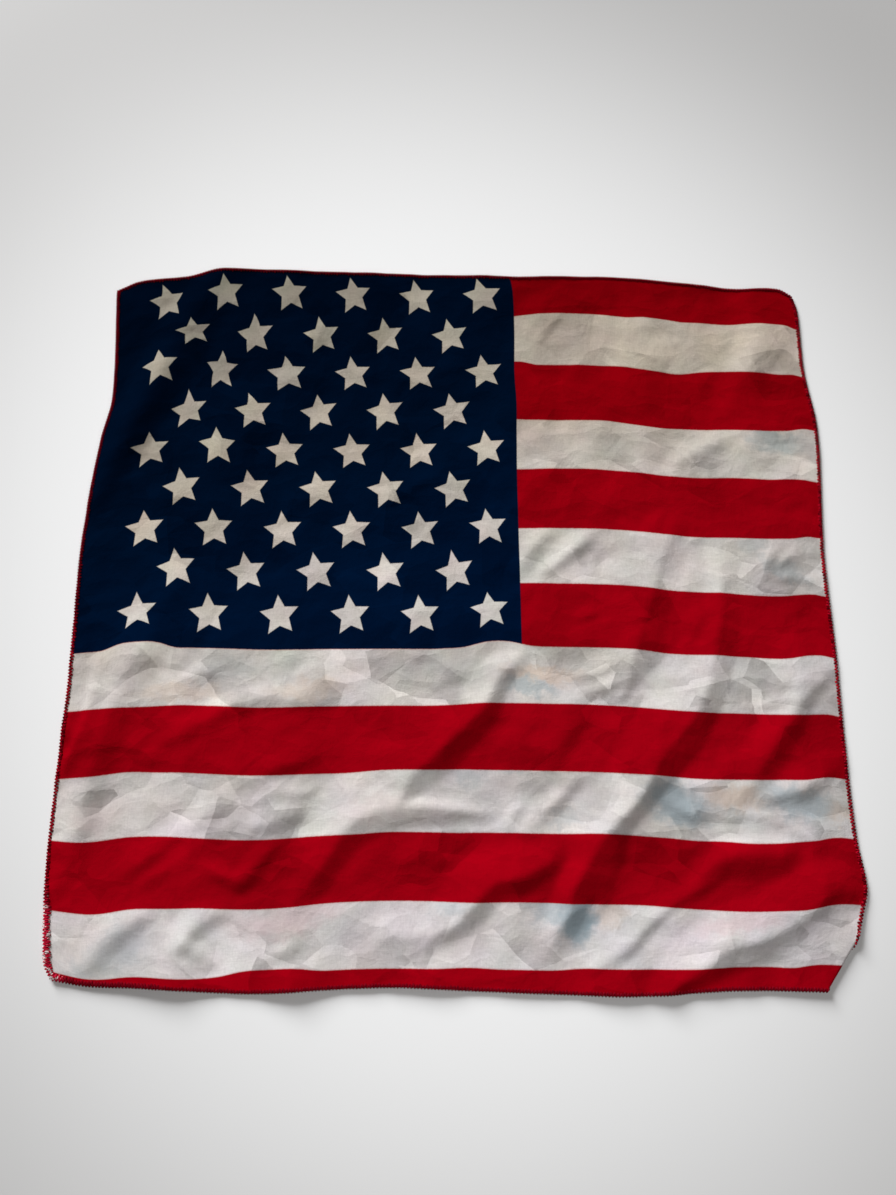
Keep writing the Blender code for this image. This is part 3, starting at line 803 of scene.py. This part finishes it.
# The creased cloth is made of small flat facets, each leaning its own way. They lean more in some
# patches than in others, more towards the bottom and the fly side, and least on the red dye.
FACETS = [(34.0, FOLD_RUN, 0.10), (64.0, FOLD_RUN - 0.8, 0.09)]  # in a metre, turn and lean
FACET_SQUEEZE = 0.55
FACET_WAVER = 0.005
WAVER_GRAIN = 40.0
PATCH_GRAIN = 11.0
PATCH_RANGE = (0.43, 0.65)  # where the noise goes from a creased patch to a smooth one
LEAN_IN_SMOOTH = 0.25  # added to the patches' 0 to 1
LEAN_AT_CORNER = 0.25  # at the canton's upper corner; the next two are added on the way out
LEAN_TO_FLY = 0.25
LEAN_TO_BOTTOM = 0.78
LEAN_OFF_RED = 1.25
RED_STEADIES = 0.5
CREASES_PER_METRE = 60.0
CREASE_SQUEEZE = 0.6
CREASE_WAVER = 0.018
CREASE_DEPTH = 0.0008
WRINKLE_GRAIN = 55.0
WRINKLE_DEPTH = 0.0006
WEAVE_DEPTH = 0.0001


def facet_place(tree, place, waver, reach, turn, squeeze):
    """A place for facets 1 / squeeze times longer along the stripes, with wavering edges."""
    shifted = vector_calc(tree, "ADD", place, vector_calc(tree, "SCALE", waver, Scale=reach))
    return add_node(tree, "Mapping", {"Vector": shifted, "Rotation": (0.0, 0.0, turn),
                    "Scale": (squeeze, 1.0, 1.0)}).outputs["Vector"]


patches = add_noise(tree, place, PATCH_GRAIN, 2.0)["Fac"]
crisp = calc(tree, "ADD", soft_mask(tree, patches, *PATCH_RANGE), LEAN_IN_SMOOTH)
to_fly = calc(tree, "MULTIPLY_ADD", spot["X"], LEAN_TO_FLY / FLAT_WIDTH, LEAN_AT_CORNER)
to_bottom = calc(tree, "MULTIPLY_ADD", spot["Y"], LEAN_TO_BOTTOM / FLAT_LENGTH, to_fly)
by_dye = calc(tree, "MULTIPLY_ADD", dye["Red"], -RED_STEADIES, LEAN_OFF_RED)
crisp = calc(tree, "MULTIPLY", calc(tree, "MULTIPLY", crisp, to_bottom), by_dye)
waver = add_noise(tree, place, WAVER_GRAIN, 3.0)["Color"]
leaning = add_node(tree, "NewGeometry").outputs["Normal"]
for facets_per_metre, turn, lean in FACETS:
    at = facet_place(tree, place, waver, FACET_WAVER, turn, FACET_SQUEEZE)
    facet = add_node(tree, "TexVoronoi", {"Vector": at, "Scale": facets_per_metre})
    way = vector_calc(tree, "SUBTRACT", facet.outputs["Color"], (0.5, 0.5, 0.5))
    way = vector_calc(tree, "MULTIPLY", way, (2 * lean, 2 * lean, 0.0))
    leaning = vector_calc(tree, "ADD", leaning, vector_calc(tree, "SCALE", way, Scale=crisp))
leaning = vector_calc(tree, "NORMALIZE", leaning)

# On them the bump has small hollows with creases between, soft wrinkles and the weave.
at = facet_place(tree, place, waver, CREASE_WAVER, FOLD_RUN, CREASE_SQUEEZE)
hollow = add_node(tree, "TexVoronoi", {"Vector": at, "Scale": CREASES_PER_METRE}).outputs["Distance"]
wrinkle = add_noise(tree, place, WRINKLE_GRAIN, 6.0, roughness=0.62, distortion=0.6)["Fac"]
normal = leaning
for height, depth in ((hollow, CREASE_DEPTH), (wrinkle, WRINKLE_DEPTH), (weave["Height"], WEAVE_DEPTH)):
    bump = add_node(tree, "Bump", {"Height": height, "Strength": 1.0, "Distance": depth,
                    "Normal": normal})
    normal = bump.outputs["Normal"]
tree.links.new(normal, shader.inputs["Normal"])
mesh.materials.append(material)

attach(cloth, "root")
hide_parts("flag_cloth")

# ------------------------------------------------------------------------------------------
# The overlock stitching. Two loopers lay soft twisted polyester thread over and under the raw
# edge, crossing at it, which binds it in place of a hem.

STITCH_LENGTH = 0.0023
STITCH_STEPS = 7
STITCH_WIDTH = 0.0028
WIDE_STITCH_WIDTH = 0.0046
THREAD_RADIUS = 0.00048
STITCH_SWAY = (0.85, 1.15)
THREAD_OFF_CLOTH = 0.8  # its middle's way off the cloth's face, over its radius, as it sinks in
THREAD_OFF_FLOOR = 0.9
CURL_SWELLING = 0.6  # how much thicker the thread is where the side curls up
CURL_MIDDLE = -0.240
CURL_REACH = 0.030
CURL_END_X = -0.2  # it reaches no farther from the hoist side
RED_THREAD_DARK = (0.085, 0.0006, 0.0035, 1.0)
RED_THREAD_LIGHT = (0.38, 0.004, 0.016, 1.0)
CURLED_THREAD = (0.42, 0.008, 0.030, 1.0)
WORN_THREAD = (0.62, 0.50, 0.50, 1.0)
DULLED_THREAD = (0.13, 0.002, 0.007, 1.0)
DULLED_STRENGTH = 0.85
FUZZ_GRAIN = 450.0
WORN_GRAIN = 400.0
WORN_RANGE = (0.40, 0.46)
# Where the edge's parts begin and end, each a soft step in metres.
CORNER_STEP_X = (-0.269, -0.261)
CORNER_STEP_Y = (-0.225, -0.205)
CANTON_STEP_X = (0.0, 0.08)
CANTON_STEP_Y = (-0.04, 0.0)
TOP_STEP_Y = (0.235, 0.250)
BOTTOM_STEP_Y = (-0.264, -0.258)

edge_run = np.roll(edge_points, -1, axis=0) - np.roll(edge_points, 1, axis=0)
edge_run /= np.linalg.norm(edge_run, axis=1)[:, None]
edge_in = np.cross(edge_ups, edge_run)
edge_in /= np.linalg.norm(edge_in, axis=1)[:, None]
edge_steps = np.linalg.norm(np.roll(edge_points, -1, axis=0) - edge_points, axis=1)
edge_marks = np.concatenate([[0.0], np.cumsum(edge_steps)])
stitches = round(edge_marks[-1] / STITCH_LENGTH)
marks = np.linspace(0.0, edge_marks[-1], stitches * STITCH_STEPS, endpoint=False)


def along_edge(values):
    """The values at the marks, between those at the edge's own points."""
    closed = np.concatenate([values, values[:1]])
    return np.stack([np.interp(marks, edge_marks, column) for column in closed.T], axis=1)


# The stitches are wider and thicker where the hoist side curls up, near its bottom end.
on_edge, into, above = along_edge(edge_points), along_edge(edge_in), along_edge(edge_ups)
rng = np.random.default_rng(7)
sway = np.repeat(rng.uniform(*STITCH_SWAY, stitches), STITCH_STEPS)
by_hoist = on_edge[:, 0] < CURL_END_X
curl = np.exp(-(((on_edge[:, 1] - CURL_MIDDLE) / CURL_REACH) ** 4)) * by_hoist
width = sway * (STITCH_WIDTH + curl * (WIDE_STITCH_WIDTH - STITCH_WIDTH))
swelling = 1 + CURL_SWELLING * curl
thread_radius = THREAD_RADIUS * swelling
lift_off = CLOTH_THICKNESS / 2 + THREAD_OFF_CLOTH * thread_radius

bpy.ops.object.select_all(action="DESELECT")
loopers = []
for hand in (1, -1):
    phase = hand * 2 * pi * np.arange(len(marks)) / STITCH_STEPS
    reach_in = 0.5 * width * (1 - np.cos(phase)) - thread_radius
    raised = lift_off * np.sin(phase)
    route = on_edge + reach_in[:, None] * into + raised[:, None] * above
    route[:, 2] = np.maximum(route[:, 2], THREAD_OFF_FLOOR * thread_radius)
    thread = bpy.data.curves.new("looper", "CURVE")
    thread.dimensions = "3D"
    thread.bevel_depth = THREAD_RADIUS
    thread.bevel_resolution = 0
    spline = thread.splines.new("POLY")
    spline.points.add(len(route) - 1)
    spline.points.foreach_set("co", np.column_stack([route, np.ones(len(route))]).ravel())
    spline.points.foreach_set("radius", swelling)
    spline.use_cyclic_u = True
    looper = bpy.data.objects.new("looper", thread)
    bpy.context.collection.objects.link(looper)
    looper.select_set(True)
    loopers.append(looper)
bpy.context.view_layer.objects.active = loopers[0]
bpy.ops.object.convert(target="MESH")
bpy.ops.object.join()
stitching = bpy.context.object
stitching.name = "edge_stitching"
bpy.ops.object.shade_smooth()

thread_material = bpy.data.materials.new("red_thread")
thread_material.use_nodes = True
tree = thread_material.node_tree
shader = tree.nodes["Principled BSDF"]
place = add_node(tree, "TexCoord").outputs["Object"]
spot = add_node(tree, "SeparateXYZ", {"Vector": place}).outputs
fuzz = add_noise(tree, place, FUZZ_GRAIN, 2.0)["Fac"]
shade = add_ramp(tree, fuzz, [(0.42, RED_THREAD_DARK), (0.58, RED_THREAD_LIGHT)])

# It is brighter, and pale where it is worn, round the hoist side's bottom end.
by_corner = calc(tree, "MULTIPLY", soft_mask(tree, spot["X"], *CORNER_STEP_X),
                 soft_mask(tree, spot["Y"], *CORNER_STEP_Y))
worn = soft_mask(tree, add_noise(tree, place, WORN_GRAIN, 2.0)["Fac"], *WORN_RANGE)
colour = tint(tree, by_corner, shade.outputs["Color"], CURLED_THREAD)
colour = tint(tree, calc(tree, "MULTIPLY", worn, by_corner), colour, WORN_THREAD)

# Along the canton, the top side and the bottom side it is darker.
by_canton = calc(tree, "MULTIPLY", soft_mask(tree, spot["X"], *CANTON_STEP_X),
                 opposite(tree, soft_mask(tree, spot["Y"], *CANTON_STEP_Y)))
by_top = opposite(tree, soft_mask(tree, spot["Y"], *TOP_STEP_Y))
by_bottom = calc(tree, "MULTIPLY", soft_mask(tree, spot["Y"], *BOTTOM_STEP_Y),
                 opposite(tree, by_corner))
dulled = calc(tree, "MAXIMUM", calc(tree, "MAXIMUM", by_canton, by_top), by_bottom)
colour = tint(tree, calc(tree, "MULTIPLY", dulled, DULLED_STRENGTH), colour, DULLED_THREAD)
tree.links.new(colour, shader.inputs["Base Color"])
shader.inputs["Roughness"].default_value = 0.85
shader.inputs["Specular IOR Level"].default_value = 0.0
stitching.data.materials.append(thread_material)
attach(stitching, "root")

# ------------------------------------------------------------------------------------------
# The stage. It is a plain pale floor with a painted pool of light that darkens away from the cloth,
# under one big soft window light, a weak one overhead and a little warm light from all round.

FLOOR_SIZE = 6.0
FLOOR_DROP = 0.0005
FLOOR_LIT = (0.935, 0.95, 0.96, 1.0)
FLOOR_PAINTED_SHADE = (0.5, 0.5, 0.5, 1.0)
LIT_POOL_MIDDLE = (0.0, 0.02, 0.0)
LIT_POOL_REACH = 0.62
ROOM_COLOUR = (1.0, 0.89, 0.81, 1.0)
ROOM_STRENGTH = 0.10

bpy.ops.mesh.primitive_plane_add(size=FLOOR_SIZE, location=(0.0, 0.0, -FLOOR_DROP))
floor = bpy.context.object
floor.name = "floor"
floor_material = bpy.data.materials.new("pale_floor")
floor_material.use_nodes = True
tree = floor_material.node_tree
shader = tree.nodes["Principled BSDF"]
# The floor's colour is a painted pool of light: pale round the cloth, greying away from it.
place = add_node(tree, "TexCoord").outputs["Object"]
place = add_node(tree, "Mapping", {"Vector": place, "Location": LIT_POOL_MIDDLE,
                 "Scale": (LIT_POOL_REACH, LIT_POOL_REACH, LIT_POOL_REACH)}, vector_type="TEXTURE")
from_middle = vector_calc(tree, "LENGTH", place.outputs["Vector"])
floor_painted_light = add_ramp(tree, from_middle, [(0.35, FLOOR_LIT), (1.0, FLOOR_PAINTED_SHADE)])
floor_painted_light.color_ramp.interpolation = "EASE"
tree.links.new(floor_painted_light.outputs["Color"], shader.inputs["Base Color"])
shader.inputs["Roughness"].default_value = 0.7
floor.data.materials.append(floor_material)


def add_softbox(name, location, size, watts):
    """A square white area light that shines on the middle of the cloth."""
    bpy.ops.object.light_add(type="AREA", location=location)
    lamp = bpy.context.object
    lamp.name = name
    lamp.data.size = size
    lamp.data.energy = watts
    lamp.rotation_euler = (-Vector(location)).to_track_quat("-Z", "Y").to_euler()


add_softbox("window_light", (-3.9, 6.6, 3.1), 3.4, 1290.0)
add_softbox("overhead", (0.1, -0.5, 0.8), 0.4, 1.8)
world = bpy.data.worlds.new("studio")
bpy.context.scene.world = world
world.use_nodes = True
background = world.node_tree.nodes["Background"].inputs
background["Color"].default_value = ROOM_COLOUR
background["Strength"].default_value = ROOM_STRENGTH
bpy.context.scene.view_settings.view_transform = "Standard"
